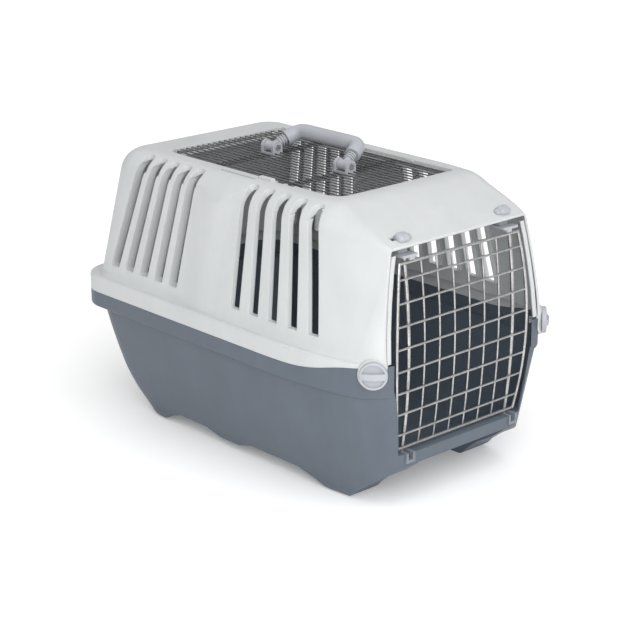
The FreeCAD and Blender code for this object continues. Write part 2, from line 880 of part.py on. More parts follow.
def catch_tab():
    edge = -size("hatch_half_width")
    middle = size("slot_fan_centre") / 2
    sunk = size("catch_tab_height")
    begin = middle - size("catch_tab_length")
    corner = vec(edge - size("catch_tab_width"), begin, size("roof_level") - sunk)
    tab = Part.makeBox(size("catch_tab_width"), size("catch_tab_length"), sunk * 2, corner)
    crown = [edge for edge in tab.Edges if edge.CenterOfMass.z > size("roof_level") + sunk / 2]
    return tab.makeFillet(sunk / 2, crown)


def latch_slot(side):
    gap = size("side_clearance")
    length = size("latch_stem_length") + size("latch_travel") + gap * 2
    depth = size("latch_stem_depth") + gap * 2
    begin = side * size("door_axis_x") - length / 2
    height = size("roof_level") - size("rod_top")
    corner = vec(begin, size("latch_stem_y") - depth / 2, size("rod_top"))
    return Part.makeBox(length, depth, height, corner)


def hinge_hooks():
    # Two curled hooks at the hatch edge that hold the long side wire of the grate.
    radius = size("grate_frame_radius") + size("running_clearance")
    outer = radius + size("hook_wall")
    axis = grate_axis()
    hooks = []
    for end, sign in zip(handle_ends(), (-1, 1)):
        middle = end + sign * size("hook_offset")
        begin = vec(axis.x, middle - size("hook_length") / 2, axis.z)
        shell = Part.makeCylinder(outer, size("hook_length"), begin, vec(0, 1, 0))
        bore = Part.makeCylinder(radius, size("hook_length"), begin, vec(0, 1, 0))
        mouth_corner = vec(axis.x - outer, begin.y, axis.z - outer)
        mouth = Part.makeBox(outer, size("hook_length"), outer * 2, mouth_corner)
        hooks.append(shell.cut(bore).cut(mouth))
    return hooks


def make_top_shell():
    wall = size("shell_wall")
    shelf = size("ledge_thickness")
    foot = size("ledge_top") - shelf / 2
    hood_wall = wall / math.cos(math.radians(size("hood_angle")))
    tight = size("front_shoulder_radius")
    inner_tight = size("inner_shoulder_radius")
    hull = shell_hull("shell_hull", foot, 0, 0, 0, tight)
    cabin = shell_hull("shell_cabin", foot - shelf, wall, size("roof_frame_depth"), hood_wall, inner_tight)
    proud = shell_hull("panel_hull", foot, -size("panel_raise"), size("panel_raise") / 2, 0, tight)
    panels = [proud.common(raised_panel(side)) for side in (-1, 1)]
    shell = hull.fuse(panels + [ledge_cove(), rim_ring()]).cut(cabin)
    shell = shell.fuse(slot_collars(hull, foot)).common(parting_block())
    shell = shell.fuse([knob_tab(side) for side in (-1, 1)] + [catch_tab()]).cut(front_block())
    near = size("hatch_radius")
    recess = hatch_prism(0, size("roof_level") - size("shelf_depth"), near, size("hatch_hinge_radius"))
    through = hatch_prism(size("shelf_width"), size("ledge_top"), near, near)
    shell = shell.cut([recess, through] + catch_cuts())
    for name, first, pitch, depth in slot_groups():
        shell = shell.cut(slot_prisms(first, pitch, 0))
    for side in (-1, 1):
        shell = shell.cut([knob_bore(side), latch_slot(side)])
    shell = shell.fuse(hinge_hooks())
    return shaped("top_shell", shell.removeSplitter())


# Door of welded wire, hung on the right-hand rod


def door_arc_radius():
    half = (size("door_top") - size("door_bottom")) / 2
    bulge = size("door_bulge")
    return (half ** 2 + bulge ** 2) / (bulge * 2)


def door_middle():
    return (size("door_top") + size("door_bottom")) / 2


def wire_layer():
    # Distance from the rod's centre line forward to the layer of cross wires.
    return size("rod_radius") + size("door_wire_radius") - size("weld_depth")


def door_depth(level, layer):
    # Y of a bulging wire at a height, for a layer this far in front of the rods.
    radius = door_arc_radius()
    centre = size("door_axis_y") - size("door_bulge") + radius
    return centre - math.sqrt((radius + layer) ** 2 - (level - door_middle()) ** 2)


def door_side(level):
    half = (size("door_top") - size("door_bottom")) / 2
    share = 1 - ((level - door_middle()) / half) ** 2
    return size("door_half_width") + size("door_side_bulge") * share


def bent_wire(name, x, layer, radius_expression):
    # A ring segment that bulges forward between the bottom and the top of the door.
    radius = door_arc_radius() + layer
    half = (size("door_top") - size("door_bottom")) / 2
    swing = math.asin(half / radius)
    centre = vec(x, size("door_axis_y") - size("door_bulge") + door_arc_radius(), door_middle())
    to_foot = vec(0, -math.cos(swing), -math.sin(swing))
    turn = FreeCAD.Rotation(to_foot, vec(0, 0, 0), vec(-1, 0, 0), "ZXY")
    wire = primitive("Torus", name, FreeCAD.Placement(centre, turn), Radius2=radius_expression)
    wire.Radius1 = radius
    wire.Angle3 = math.degrees(swing) * 2
    return wire


def make_door_frame():
    layer = wire_layer()
    top = size("door_top")
    bottom = size("door_bottom")
    half = size("door_half_width")
    high = door_depth(top, layer)
    low = door_depth(bottom, layer)
    radius = size("door_frame_radius")
    mid = vec(door_side(door_middle()), door_depth(door_middle(), layer), door_middle())
    high_corner = vec(half, high, top)
    low_corner = vec(half, low, bottom)
    right = tube(Part.Wire(Part.Arc(high_corner, mid, low_corner).toShape()), radius)
    right = right.fuse([Part.makeSphere(radius, high_corner), Part.makeSphere(radius, low_corner)])
    ends = (high_corner, low_corner)
    bars = [rod_between(vec(-half, corner.y, corner.z), corner, radius) for corner in ends]
    frame = right.fuse([mirrored(right)] + bars)
    return shaped("door_frame", frame.removeSplitter())


def make_door_cross_wires():
    number = count("door_cross_count")
    first = size("door_bottom") + size("door_end_gap")
    last = size("door_top") - size("door_end_gap")
    wires = []
    for index in range(number):
        level = first + (last - first) * index / (number - 1)
        half = door_side(level) - size("door_frame_radius") + size("weld_depth")
        place = placed(vec(-half, door_depth(level, wire_layer()), level), vec(1, 0, 0))
        wire = primitive("Cylinder", "door_cross_wire", place, Radius="sizes.door_wire_radius")
        wire.Height = half * 2
        wires.append(wire)
    return node(grouped("door_cross_wires", wires), "door_cross_wires")


def make_door_uprights():
    number = count("door_upright_count")
    pitch = size("door_axis_x") * 2 / (number + 1)
    layer = wire_layer() - size("door_wire_radius") * 2 + size("weld_depth")
    wires = []
    for index in range(number):
        x = pitch * (index + 1) - size("door_axis_x")
        wires.append(bent_wire("door_upright", x, layer, "sizes.door_wire_radius"))
    return node(grouped("door_uprights", wires), "door_uprights")


def make_door_rod(side, label):
    # A bowed rod with two straight ends on one line, which is the line that the door turns on.
    x = side * size("door_axis_x")
    axis = size("door_axis_y")
    half = (size("door_top") - size("door_bottom")) / 2
    swing = math.asin(half / door_arc_radius())
    bend = size("rod_bend_radius")
    run = (half / math.cos(swing) - bend * math.tan(swing / 2)) * size("rod_run_share")
    points = [
        vec(x, axis, size("rod_bottom")),
        vec(x, axis, size("door_bottom")),
        vec(x, axis - half * math.tan(swing), door_middle()),
        vec(x, axis, size("door_top")),
        vec(x, axis, size("rod_top")),
    ]
    path = rounded_path(points, [0, bend, run / math.tan(swing), bend, 0], False)
    return shaped(label, tube(path, size("rod_radius")))


def make_door_bush(side, label):
    # A socket open to the front, so that either rod can swing out.
    x = side * size("door_axis_x")
    mouth_half = size("rod_radius") + size("bush_mouth_clearance")
    front = size("opening_plane")
    floor = size("rod_bottom") - size("side_clearance")
    height = "sizes.lip_top + sizes.bush_crown - sizes.rod_bottom + sizes.side_clearance"
    block = primitive(
        "Box",
        label + "_block",
        placed(vec(x - size("bush_half_width"), front, size("bush_bottom"))),
        Length="sizes.bush_half_width * 2",
        Width="sizes.bush_depth",
        Height="sizes.lip_top + sizes.bush_crown - sizes.bush_bottom",
    )
    round_end = primitive(
        "Cylinder",
        label + "_bore",
        placed(vec(x, size("door_axis_y"), floor)),
        Radius="sizes.rod_radius + sizes.running_clearance",
        Height=height,
    )
    mouth = primitive(
        "Box",
        label + "_mouth",
        placed(vec(x - mouth_half, front, floor)),
        Length="(sizes.rod_radius + sizes.bush_mouth_clearance) * 2",
        Width="sizes.door_axis_y - sizes.opening_plane",
        Height=height,
    )
    tool = joined(label + "_socket", [round_end, mouth])
    return node(cut_by(label, block, tool), label)


def latch_button(name):
    # A block with a rounded crown, centred on its foot.
    length = size(name + "_length")
    depth = size(name + "_depth")
    height = size(name + "_height")
    block = Part.makeBox(length, depth, height, vec(-length / 2, -depth / 2, 0))
    crown = [edge for edge in block.Edges if edge.CenterOfMass.z > 0]
    return block.makeFillet(height * size("crown_share"), crown)


def make_door_latch(side, label):
    # A slider under the hood with a finger that passes in front of the rod's upper end.
    gap = size("side_clearance")
    x = side * size("door_axis_x")
    half = size("latch_length") / 2
    plate_bottom = size("rod_top") + gap
    plate_top = plate_bottom + size("latch_plate")
    front = size("door_axis_y") - size("rod_radius") - gap - size("latch_finger_depth")
    back = size("latch_stem_y") + size("latch_stem_depth")
    stem_front = size("latch_stem_y") - size("latch_stem_depth")
    hood_wall = size("shell_wall") / math.cos(math.radians(size("hood_angle")))
    under = -hood_wall - size("latch_guide_gap")
    plate = [(front, plate_bottom), (back, plate_bottom), (back, plate_top), (front, plate_top)]
    guide = [
        (stem_front, plate_bottom),
        (back, plate_bottom),
        (back, hood_height(back) + under),
        (stem_front, hood_height(stem_front) + under),
    ]
    stem_x = x - side * size("latch_travel") / 2
    stem_reach = size("latch_stem_length") / 2
    body = side_prism(plate, stem_x - half, stem_x + half)
    body = body.fuse(side_prism(guide, stem_x - stem_reach, stem_x + stem_reach))
    finger_x = x - side * (size("rod_radius") + gap + size("latch_finger") / 2)
    drop = size("latch_finger_drop")
    finger_corner = vec(finger_x - size("latch_finger") / 2, front, plate_bottom - drop)
    finger = Part.makeBox(size("latch_finger"), size("latch_finger_depth"), drop, finger_corner)
    stem_half = size("latch_stem_depth") / 2
    stem_y = size("latch_stem_y")
    stem_outline = [
        (stem_y - stem_half, plate_bottom),
        (stem_y + stem_half, plate_bottom),
        (stem_y + stem_half, hood_height(stem_y + stem_half) + gap * 2),
        (stem_y - stem_half, hood_height(stem_y - stem_half) + gap * 2),
    ]
    stem = side_prism(stem_outline, stem_x - stem_reach, stem_x + stem_reach)
    tilt = FreeCAD.Rotation(vec(1, 0, 0), size("hood_angle"))
    cap = latch_button("latch_cap")
    heel = latch_button("latch_heel")
    heel.translate(vec(-side * size("latch_cap_length") / 2, 0, 0))
    cap = cap.fuse(heel)
    cap_y = stem_y - size("latch_cap_reach")
    cap.Placement = FreeCAD.Placement(vec(stem_x, cap_y, hood_height(cap_y) + gap), tilt)
    return shaped(label, body.fuse([finger, stem, cap]).removeSplitter())


# Quarter-turn knobs


def make_knob(side, label):
    radius = size("knob_radius")
    disc = Part.makeCylinder(radius, size("knob_thickness"))
    top_edges = [edge for edge in disc.Edges if edge.CenterOfMass.z > size("knob_thickness") / 2]
    disc = disc.makeFillet(size("knob_edge"), top_edges[:1])
    bowl = Part.makeCylinder(radius - size("knob_edge") * 2, size("knob_recess"))
    bowl.translate(vec(0, 0, size("knob_thickness") - size("knob_recess")))
    bar_corner = vec(-radius, -size("knob_bar_width") / 2, size("knob_thickness") - size("knob_recess"))
    bar_depth = size("knob_recess") + size("knob_bar_height")
    bar = Part.makeBox(radius * 2, size("knob_bar_width"), bar_depth, bar_corner)
    crown = size("knob_thickness") + size("knob_bar_height")
    bar = bar.common(Part.makeSphere(radius * 2, vec(0, 0, crown - radius * 2)))
    bar = bar.common(Part.makeCylinder(radius - size("knob_edge"), size("knob_thickness") * 2))
    spindle = Part.makeCylinder(size("spindle_radius"), spindle_length(), vec(0, 0, 0), vec(0, 0, -1))
    key_corner = vec(-size("spindle_key_length") / 2, -size("spindle_key_width") / 2, -spindle_length())
    key = Part.makeBox(
        size("spindle_key_length"), size("spindle_key_width"), size("spindle_key_height"), key_corner
    )
    knob = disc.cut(bowl).fuse([bar, spindle, key]).removeSplitter()
    point, outward = knob_axis(side)
    face = point + outward * (size("knob_boss_thickness") + size("side_clearance"))
    upright = FreeCAD.Rotation(vec(0, 1, 0), vec(0, 0, 1), outward, "ZXY")
    knob.Placement = FreeCAD.Placement(face, upright)
    return shaped(label, knob)


# Roof grate of welded wire


def grate_axis():
    x = size("hatch_half_width") - size("grate_side_gap") - size("grate_frame_radius")
    z = size("roof_level") - size("shelf_depth") + size("side_clearance") + size("grate_frame_radius")
    return vec(x, 0, z)


def handle_ends():
    half = size("handle_span") / 2
    return (size("handle_centre") - half, size("handle_centre") + half)


def grate_wire_level():
    return grate_axis().z + size("grate_frame_radius") + size("grate_wire_radius") - size("weld_depth")


def grate_cross_level():
    return grate_wire_level() - size("grate_wire_radius") - size("grate_cross_radius") + size("weld_depth")


def grate_front():
    return size("hatch_front") + size("grate_side_gap") + size("grate_frame_radius")


def grate_rear():
    return size("hatch_rear") - size("grate_side_gap") - size("grate_frame_radius")


def make_grate_frame():
    axis = grate_axis()
    corners = [
        vec(-axis.x, grate_front(), axis.z),
        vec(axis.x, grate_front(), axis.z),
        vec(axis.x, grate_rear(), axis.z),
        vec(-axis.x, grate_rear(), axis.z),
    ]
    path = even_path(corners, size("grate_corner_radius"), True)
    return shaped("grate_frame", tube(path, size("grate_frame_radius")))


def grate_wire_places():
    number = count("grate_wire_count")
    pitch = grate_axis().x * 2 / (number + 1)
    return [pitch * (index + 1) - grate_axis().x for index in range(number)]


def grate_wire_ends(x):
    # Wires near the sides end on the rounded corners of the frame.
    corner = size("grate_corner_radius")
    inward = max(corner - (grate_axis().x - abs(x)), 0)
    trim = corner - math.sqrt(corner ** 2 - inward ** 2)
    level = grate_wire_level()
    return vec(x, grate_front() + trim, level), vec(x, grate_rear() - trim, level)


def make_grate_long_wires():
    wires = []
    for x in grate_wire_places():
        begin, end = grate_wire_ends(x)
        along = placed(begin, vec(0, 1, 0))
        wire = primitive("Cylinder", "grate_wire", along, Radius="sizes.grate_wire_radius")
        wire.Height = (end - begin).Length
        wires.append(wire)
    return node(grouped("grate_long_wires", wires), "grate_long_wires")


def cross_wire_ends(y):
    half = grate_axis().x - size("grate_frame_radius") + size("weld_depth")
    level = grate_cross_level()
    return vec(-half, y, level), vec(half, y, level)


def make_grate_cross_wires(y, label):
    half = size("grate_cross_pair") / 2
    pair = []
    for shift in (-half, half):
        begin, end = cross_wire_ends(y + shift)
        along = placed(begin, vec(1, 0, 0))
        wire = primitive("Cylinder", "cross_wire", along, Radius="sizes.grate_cross_radius")
        wire.Height = (end - begin).Length
        pair.append(wire)
    return node(grouped(label, pair), label)


# Folding handle and the clips that carry it


def make_handle_clip(y, label):
    # A saddle moulded round the wires, with two lugs for the pin.
    gap = size("side_clearance")
    half = size("clip_half_width")
    reach = size("eye_length") / 2 + gap + size("clip_lug")
    bottom = grate_cross_level() - size("grate_cross_radius") * 2
    pivot = size("pivot_height")
    block = Part.makeBox(half * 2, reach * 2, pivot - bottom, vec(-half, y - reach, bottom))
    crown = Part.makeCylinder(half, reach * 2, vec(0, y - reach, pivot), vec(0, 1, 0))
    saddle = block.fuse(crown)
    hollow = size("eye_radius") + gap
    mouth_reach = size("eye_length") / 2 + gap
    mouth_floor = pivot - hollow
    mouth_corner = vec(-half * 2, y - mouth_reach, mouth_floor)
    mouth = Part.makeBox(half * 4, mouth_reach * 2, half * 4, mouth_corner)
    saddle = saddle.cut(mouth)
    bore = Part.makeCylinder(size("pin_radius"), reach * 2, vec(0, y - reach, pivot), vec(0, 1, 0))
    near = [x for x in grate_wire_places() if abs(x) < half * 2]
    wires = [rod_between(*grate_wire_ends(x), size("grate_wire_radius")) for x in near]
    pair = size("grate_cross_pair") / 2
    for shift in (-pair, pair):
        wires.append(rod_between(*cross_wire_ends(y + shift), size("grate_cross_radius")))
    return shaped(label, saddle.cut(bore).cut(wires).removeSplitter())


def make_handle_pin(y, label):
    # A riveted pin: one shank with a head at each end.
    reach = size("eye_length") / 2 + size("side_clearance") + size("clip_lug")
    pivot = size("pivot_height")
    shank = primitive(
        "Cylinder",
        label + "_shank",
        placed(vec(0, y - reach, pivot), vec(0, 1, 0)),
        Radius="sizes.pin_radius",
        Height="sizes.eye_length + (sizes.side_clearance + sizes.clip_lug) * 2",
    )
    heads = []
    for sign in (-1, 1):
        heads.append(primitive(
            "Cylinder",
            label + "_head",
            placed(vec(0, y + sign * reach, pivot), vec(0, sign, 0)),
            Radius="sizes.pin_head_radius",
            Height="sizes.pin_head_thickness",
        ))
    return node(joined(label, [shank] + heads), label)


def make_handle_grip():
    # Modelled upright over its pivots, then tilted to the side it rests on.
    half = size("handle_span") / 2
    top = size("handle_height")
    splay = size("handle_splay")
    points = [vec(0, -half, 0), vec(0, splay - half, top), vec(0, half - splay, top), vec(0, half, 0)]
    path = even_path(points, size("handle_bend_radius"), False)
    neck = tube(path, size("neck_radius"))
    climb = (points[1] - points[0]).normalize()
    start = points[0] + climb * size("neck_length")
    finish = vec(0, -start.y, start.z)
    bar_path = even_path([start, points[1], points[2], finish], size("handle_bend_radius"), False)
    bar = tube(bar_path, size("grip_radius"))
    bore = size("pin_radius") + size("running_clearance")
    pieces = [bar]
    eyes = []
    for sign in (-1, 1):
        centre = vec(0, sign * half, 0)
        lean = vec(0, sign * climb.y * -1, climb.z)
        begin = centre - vec(0, size("eye_length") / 2, 0)
        pieces.append(Part.makeCylinder(size("eye_radius"), size("eye_length"), begin, vec(0, 1, 0)))
        eyes.append(Part.makeCylinder(bore, size("eye_length"), begin, vec(0, 1, 0)))
        for index in range(count("neck_ring_count")):
            along = size("neck_ring_start") + size("neck_ring_pitch") * index
            base = centre + lean * along
            thick = size("neck_ring_thickness")
            pieces.append(Part.makeCylinder(size("neck_ring_radius"), thick, base, lean))
    grip = neck.fuse(pieces).cut(eyes).removeSplitter()
    pivot = vec(0, size("handle_centre"), size("pivot_height"))
    grip.Placement = FreeCAD.Placement(pivot, FreeCAD.Rotation(vec(0, 1, 0), size("handle_tilt_angle")))
    return shaped("handle_grip", grip)


make_base_tub()
make_top_shell()
make_door_frame()
make_door_cross_wires()
make_door_uprights()
for side, name in ((-1, "left"), (1, "right")):
    make_door_rod(side, "door_rod_" + name)
    make_door_bush(side, "door_bush_" + name)
    make_door_latch(side, "door_latch_" + name)
    make_knob(side, "knob_" + name)
make_grate_frame()
make_grate_long_wires()
for y, name in zip(handle_ends(), ("front", "rear")):
    make_grate_cross_wires(y, "grate_cross_wires_" + name)
    make_handle_clip(y, "handle_clip_" + name)
    make_handle_pin(y, "handle_pin_" + name)
make_handle_grip()
doc.recompute()

os.makedirs("parts", exist_ok=True)
for piece in nodes:
    state = set(piece.State)
    if state & {"Invalid", "Error"} or piece.Shape.isNull() or not piece.Shape.isValid():
        raise RuntimeError("bad shape: " + piece.Label)
    piece.Shape.exportStep("parts/" + piece.Label + ".step")
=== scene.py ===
import json
import math

import bmesh
import bpy
from mathutils import Matrix, Vector


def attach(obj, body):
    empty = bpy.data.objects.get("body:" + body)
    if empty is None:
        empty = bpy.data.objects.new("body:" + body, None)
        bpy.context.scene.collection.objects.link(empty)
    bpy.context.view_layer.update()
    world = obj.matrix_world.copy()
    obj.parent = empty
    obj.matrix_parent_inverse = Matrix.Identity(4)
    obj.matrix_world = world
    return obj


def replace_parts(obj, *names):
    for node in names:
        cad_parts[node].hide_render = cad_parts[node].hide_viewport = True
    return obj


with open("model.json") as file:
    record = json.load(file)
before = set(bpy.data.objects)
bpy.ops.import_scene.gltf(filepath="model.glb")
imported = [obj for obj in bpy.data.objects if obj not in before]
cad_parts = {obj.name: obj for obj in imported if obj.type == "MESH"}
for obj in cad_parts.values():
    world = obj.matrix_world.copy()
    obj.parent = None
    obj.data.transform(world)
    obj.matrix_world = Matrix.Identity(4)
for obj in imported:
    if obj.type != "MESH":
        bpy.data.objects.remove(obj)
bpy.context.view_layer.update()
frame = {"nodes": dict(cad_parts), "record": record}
print("frame loaded:", len(frame["nodes"]), "nodes")


# a shader socket that can be used in plain expressions
class Sock:
    def __init__(self, tree, socket=None):
        self.tree = tree
        self.socket = socket

    def add(self, kind, settings=None, outlet=0, inputs=None):
        made = self.tree.nodes.new(kind)
        for name, value in (settings or {}).items():
            setattr(made, name, value)
        for name, value in (inputs or {}).items():
            if isinstance(value, Sock):
                self.tree.links.new(value.socket, made.inputs[name])
            else:
                made.inputs[name].default_value = value
        return Sock(self.tree, made.outputs[outlet])

    def math(self, operation, first, second):
        return self.add("ShaderNodeMath", {"operation": operation}, 0, {0: first, 1: second})

    def __add__(self, other):
        return self.math("ADD", self, other)

    def __radd__(self, other):
        return self.math("ADD", other, self)

    def __sub__(self, other):
        return self.math("SUBTRACT", self, other)

    def __rsub__(self, other):
        return self.math("SUBTRACT", other, self)

    def __mul__(self, other):
        return self.math("MULTIPLY", self, other)

    def __rmul__(self, other):
        return self.math("MULTIPLY", other, self)


def newFinish(name):
    finish = bpy.data.materials.new(name)
    finish.use_nodes = True
    tree = finish.node_tree
    place = Sock(tree).add("ShaderNodeTexCoord", None, "Object")
    return finish, tree.nodes["Principled BSDF"], place


def feed(shader, name, value):
    value.tree.links.new(value.socket, shader.inputs[name])


def noise(place, scale, detail, roughness):
    inputs = {"Vector": place, "Scale": scale, "Detail": detail, "Roughness": roughness}
    return place.add("ShaderNodeTexNoise", None, 0, inputs)


def mixColour(amount, first, second):
    settings = {"data_type": "RGBA", "clamp_factor": True}
    return amount.add("ShaderNodeMix", settings, 2, {0: amount, 6: first, 7: second})


# 0 below low, 1 above high
def ramp(value, low, high):
    inputs = {"Value": value, "From Min": low, "From Max": high, "To Min": 0.0, "To Max": 1.0}
    return value.add("ShaderNodeMapRange", {"clamp": True}, 0, inputs)


# softened normal, and how far it turns from the flat face: 0 on faces, more on edges
def softEdges(place, radius):
    soft = place.add("ShaderNodeBevel", {"samples": 6}, 0, {"Radius": radius})
    flat = place.add("ShaderNodeNewGeometry", None, "True Normal")
    same = place.add("ShaderNodeVectorMath", {"operation": "DOT_PRODUCT"}, "Value", {0: soft, 1: flat})
    return soft, 1 - same


# moulded plastics
plasticLooks = {
    "shellPlastic": {
        "colour": (0.565, 0.58, 0.58, 1),
        "shade": (0.525, 0.54, 0.545, 1),
        "worn": (0.68, 0.69, 0.69, 1),
        "rough": 0.42,
        "grain": 900.0,
        "grainDepth": 0.00005,
        "softEdge": 0.0022,
    },
    "tubPlastic": {
        "colour": (0.100, 0.123, 0.152, 1),
        "shade": (0.087, 0.107, 0.133, 1),
        "worn": (0.18, 0.21, 0.245, 1),
        "rough": 0.46,
        "grain": 800.0,
        "grainDepth": 0.00006,
        "softEdge": 0.0015,
    },
    "bushPlastic": {
        "colour": (0.20, 0.22, 0.25, 1),
        "shade": (0.17, 0.19, 0.22, 1),
        "worn": (0.30, 0.32, 0.34, 1),
        "rough": 0.40,
        "grain": 1100.0,
        "grainDepth": 0.00004,
        "softEdge": 0.0007,
    },
    "fittingPlastic": {
        "colour": (0.40, 0.415, 0.445, 1),
        "shade": (0.36, 0.375, 0.405, 1),
        "worn": (0.56, 0.575, 0.60, 1),
        "rough": 0.38,
        "grain": 1100.0,
        "grainDepth": 0.00004,
        "softEdge": 0.0007,
    },
}
# marks of the mould, with each noise as scale, detail and roughness
mouldMarks = {
    "cloud": (14.0, 3.0, 0.55),
    "cloudShare": 0.7,
    "cloudRough": 0.10,
    "grainDetail": (2.0, 0.6),
    "grainRough": 0.10,
    "streakStretch": (60.0, 60.0, 9.0),
    "streak": (1.0, 2.0, 0.5),
    "streakShare": 0.3,
    "streakHeight": 0.4,
    "mottleRange": (0.35, 0.65),
    "rub": (90.0, 4.0, 0.7),
    "wearRange": (0.02, 0.16),
    "wearShare": 0.6,
    "wearRough": 0.06,
    "bumpShare": 0.35,
    "ior": 1.47,
}


def mouldedPlastic(name, look):
    marks = mouldMarks
    finish, shader, place = newFinish(name)
    cloud = noise(place, *marks["cloud"])
    grain = noise(place, look["grain"], *marks["grainDetail"])
    flow = place.add("ShaderNodeMapping", None, 0, {"Vector": place, "Scale": marks["streakStretch"]})
    streak = noise(flow, *marks["streak"])
    rub = noise(place, *marks["rub"])
    soft, edge = softEdges(place, look["softEdge"])
    wear = ramp(edge * rub, *marks["wearRange"])
    mottle = ramp(cloud * marks["cloudShare"] + streak * marks["streakShare"], *marks["mottleRange"])
    base = mixColour(mottle, look["shade"], look["colour"])
    feed(shader, "Base Color", mixColour(wear * marks["wearShare"], base, look["worn"]))
    uneven = (grain - 0.5) * marks["grainRough"] + (cloud - 0.5) * marks["cloudRough"]
    feed(shader, "Roughness", look["rough"] + uneven + wear * marks["wearRough"])
    skin = {
        "Strength": marks["bumpShare"],
        "Distance": look["grainDepth"],
        "Height": grain + streak * marks["streakHeight"],
        "Normal": soft,
    }
    feed(shader, "Normal", place.add("ShaderNodeBump", None, 0, skin))
    shader.inputs["IOR"].default_value = marks["ior"]
    return finish


# drawn and plated steel wire: bright on the door; the roof grate wire is the same zinc with its colour
# painted darker, as painted shade
wireLooks = {
    "zincWire": {"colour": (0.60, 0.60, 0.60, 1), "dull": (0.38, 0.38, 0.38, 1), "rough": 0.28},
    # painted shade: the door's zinc painted darker, because the roof wires catch little light
    "grateWirePaintedShade": {"colour": (0.26, 0.26, 0.265, 1), "dull": (0.15, 0.15, 0.155, 1), "rough": 0.34},
}
wireMarks = {
    "spangleScale": 420.0,
    "spangleShare": 0.4,
    "cloud": (60.0, 4.0, 0.6),
    "cloudShare": 0.8,
    "drawn": (2500.0, 2.0, 0.7),
    "drawnRough": 0.12,
    "dullRange": (0.40, 0.80),
    "dullRough": 0.22,
    "bumpShare": 0.25,
    "bumpDepth": 0.00003,
}


def platedWire(name, look):
    marks = wireMarks
    finish, shader, place = newFinish(name)
    cells = {"Vector": place, "Scale": marks["spangleScale"]}
    spangle = place.add("ShaderNodeTexVoronoi", None, "Distance", cells)
    cloud = noise(place, *marks["cloud"])
    drawn = noise(place, *marks["drawn"])
    dull = ramp(cloud * marks["cloudShare"] + spangle * marks["spangleShare"], *marks["dullRange"])
    feed(shader, "Base Color", mixColour(dull, look["colour"], look["dull"]))
    feed(shader, "Roughness", look["rough"] + dull * marks["dullRough"] + (drawn - 0.5) * marks["drawnRough"])
    skin = {"Strength": marks["bumpShare"], "Distance": marks["bumpDepth"], "Height": drawn + cloud}
    feed(shader, "Normal", place.add("ShaderNodeBump", None, 0, skin))
    shader.inputs["Metallic"].default_value = 1.0
    return finish


finishes = {name: mouldedPlastic(name, look) for name, look in plasticLooks.items()}
finishes.update({name: platedWire(name, look) for name, look in wireLooks.items()})
print("finishes made:", ", ".join(finishes))


def easeBetween(value, low, high):
    share = min(max((value - low) / (high - low), 0.0), 1.0)
    return share * share * (3 - 2 * share)


def readCurve(curve, value):
    for (low, first), (high, second) in zip(curve, curve[1:]):
        if value <= high:
            return first + (second - first) * max(value - low, 0.0) / (high - low)
    return curve[-1][1]


# the tub's walls swell above the base; each curve pairs a height with how far the wall moves, in metres
tubSwell = {
    "top": 0.152,
    "rows": [0.002, 0.005, 0.009, 0.014, 0.022, 0.034, 0.050, 0.070, 0.095, 0.125],
    "ribTop": 0.08,
    "ribs": [-0.262, -0.250, -0.238, -0.226, -0.215, -0.205, -0.150, -0.140, -0.130, 0.125, 0.135],
    "side": [
        (0.0, 0.009), (0.003, 0.0085), (0.008, 0.007), (0.014, 0.0066), (0.022, 0.0073), (0.034, 0.0079),
        (0.050, 0.0079), (0.070, 0.0071), (0.095, 0.0055), (0.125, 0.0029), (0.152, 0.0),
    ],
    "rear": [
        (0.0, 0.008), (0.003, 0.0115), (0.008, 0.0162), (0.014, 0.0190), (0.022, 0.0209), (0.034, 0.0217),
        (0.050, 0.0211), (0.070, 0.0186), (0.095, 0.0140), (0.125, 0.0071), (0.152, 0.0),
    ],
    "lift": [(0.0, 0.0), (0.006, 0.0048), (0.022, 0.0048), (0.045, 0.0025), (0.065, 0.0)],
    "sideFade": (0.092, 0.112),
    "rearFade": (0.12, 0.17),
    "frontFade": (0.225, 0.262),
}


def swellTub(work):
    for height in tubSwell["rows"]:
        geom = work.verts[:] + work.edges[:] + work.faces[:]
        bmesh.ops.bisect_plane(work, geom=geom, dist=1e-6, plane_co=(0, 0, height), plane_no=(0, 0, 1))
    for place in tubSwell["ribs"]:
        low = {face for face in work.faces if all(vert.co.z < tubSwell["ribTop"] for vert in face.verts)}
        geom = [vert for vert in work.verts if not low.isdisjoint(vert.link_faces)]
        geom += [edge for edge in work.edges if not low.isdisjoint(edge.link_faces)]
        geom += [face for face in work.faces if face in low]
        bmesh.ops.bisect_plane(work, geom=geom, dist=1e-6, plane_co=(0, place, 0), plane_no=(0, 1, 0))
    for vert in work.verts:
        x, y, z = vert.co
        if z < tubSwell["top"]:
            behindDoor = 1 - easeBetween(-y, *tubSwell["frontFade"])
            out = readCurve(tubSwell["side"], z) * easeBetween(abs(x), *tubSwell["sideFade"]) * behindDoor
            vert.co.x += math.copysign(out, x)
            vert.co.y += readCurve(tubSwell["rear"], z) * easeBetween(y, *tubSwell["rearFade"])
            vert.co.z += readCurve(tubSwell["lift"], z) * behindDoor
    print("tub swollen:", len(work.faces), "faces")


# the slots run on over the shoulder; a group is its first foot and its pitch along the side
slotHeads = {
    "groups": [(-0.176, 0.035), (0.088, 0.0305)],  # front, rear
    "perGroup": 5,
    "leanCentre": -0.04,
    "leanShare": -0.16,
    "wide": 0.0165,
    "reach": (0.123, 0.152),
    "level": (0.345, 0.385),
    "round": 0.0075,
    "roundSegments": 8,
}


